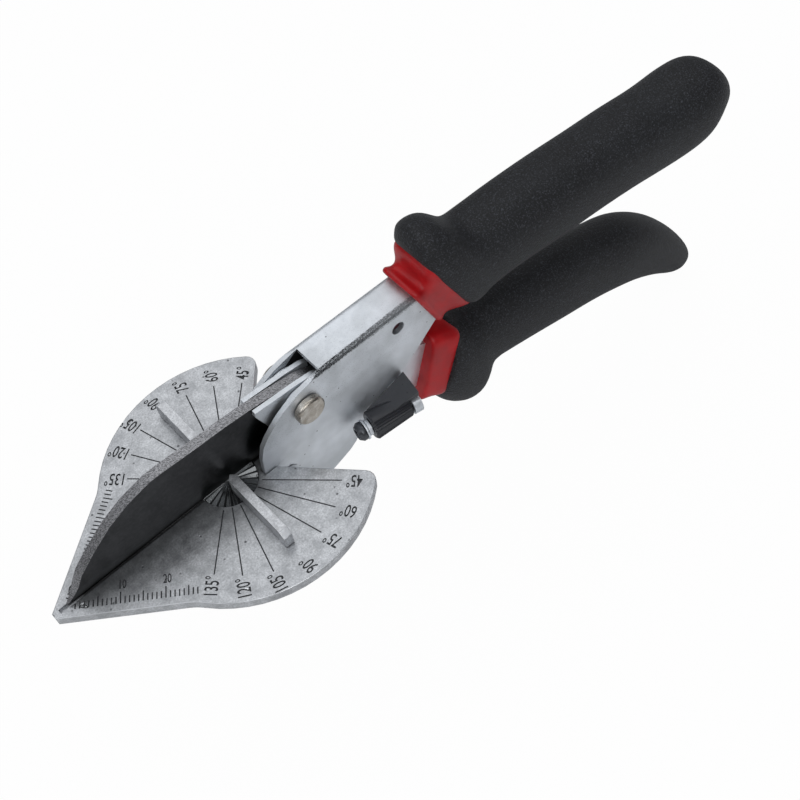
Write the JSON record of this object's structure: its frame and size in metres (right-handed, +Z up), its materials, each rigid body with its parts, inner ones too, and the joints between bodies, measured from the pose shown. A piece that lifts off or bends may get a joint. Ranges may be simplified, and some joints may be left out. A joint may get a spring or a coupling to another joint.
{
  "type": "mitre shears",
  "caption": "Hand-held mitre shears: a pivoting blade closes on an anvil with a protractor and a turning fence, with soft-grip handles and a side lock.",
  "frame": {"origin": "the point on the supporting plane under the middle of the whole tool, closed and locked, in the plane of the blade", "axes": "+X runs from the anvil's tip to the ends of the handles, +Y to the side away from the lock, +Z up, square to the face of the anvil"},
  "size_m": [0.2142, 0.0644, 0.0991],
  "materials": {
    "cast_zinc": "die-cast zinc alloy, fine-blasted grey",
    "plated_steel": "bright zinc-plated sheet steel",
    "nickel_rivet": "nickel-plated, lightly scratched",
    "blade_steel": "dark polished blade steel with a ground spine",
    "spring_steel": "oiled spring steel",
    "black_nylon": "satin black moulded plastic",
    "red_plastic": "satin red moulded plastic",
    "black_rubber": "fine-grained black grip rubber"
  },
  "bodies": {
    "frame": {"body_channel": "plated_steel", "anvil": "cast_zinc", "anvil_rivet_1": "plated_steel", "anvil_rivet_2": "plated_steel", "pivot_rivet": "nickel_rivet", "near_pivot_washer": "plated_steel", "far_pivot_washer": "plated_steel", "upper_grip": "black_rubber", "upper_sleeve": "red_plastic", "return_spring": "spring_steel"},
    "fence": {"fence": "cast_zinc", "fence_washer": "plated_steel", "fence_spring_washer": "spring_steel", "fence_nut": "plated_steel"},
    "lever": {"lever": "plated_steel", "blade": "blade_steel", "blade_pin_1": "plated_steel", "blade_pin_2": "plated_steel", "lower_grip": "black_rubber", "lower_sleeve": "red_plastic", "lock_bush": "plated_steel", "lock_washer": "plated_steel", "lock_screw": "plated_steel"},
    "lock": {"lock_catch": "black_nylon"}
  },
  "joints": [
    {"name": "lever_hinge", "type": "hinge", "parent": "frame", "child": "lever", "pos_m": [-0.03708, 0, 0.07567], "axis": [0, 1, 0], "range_deg": [0, 25], "deforming": ["return_spring"]},
    {"name": "fence_turn", "type": "hinge", "parent": "frame", "child": "fence", "pos_m": [-0.05888, 0, 0.06337], "axis": [0, 0, 1], "range_deg": [-45, 45]},
    {"name": "lock_turn", "type": "hinge", "parent": "lever", "child": "lock", "pos_m": [-0.02448, -0.009, 0.05717], "axis": [0.9863, -0.165, 0], "range_deg": [0, 75]}
  ]
}
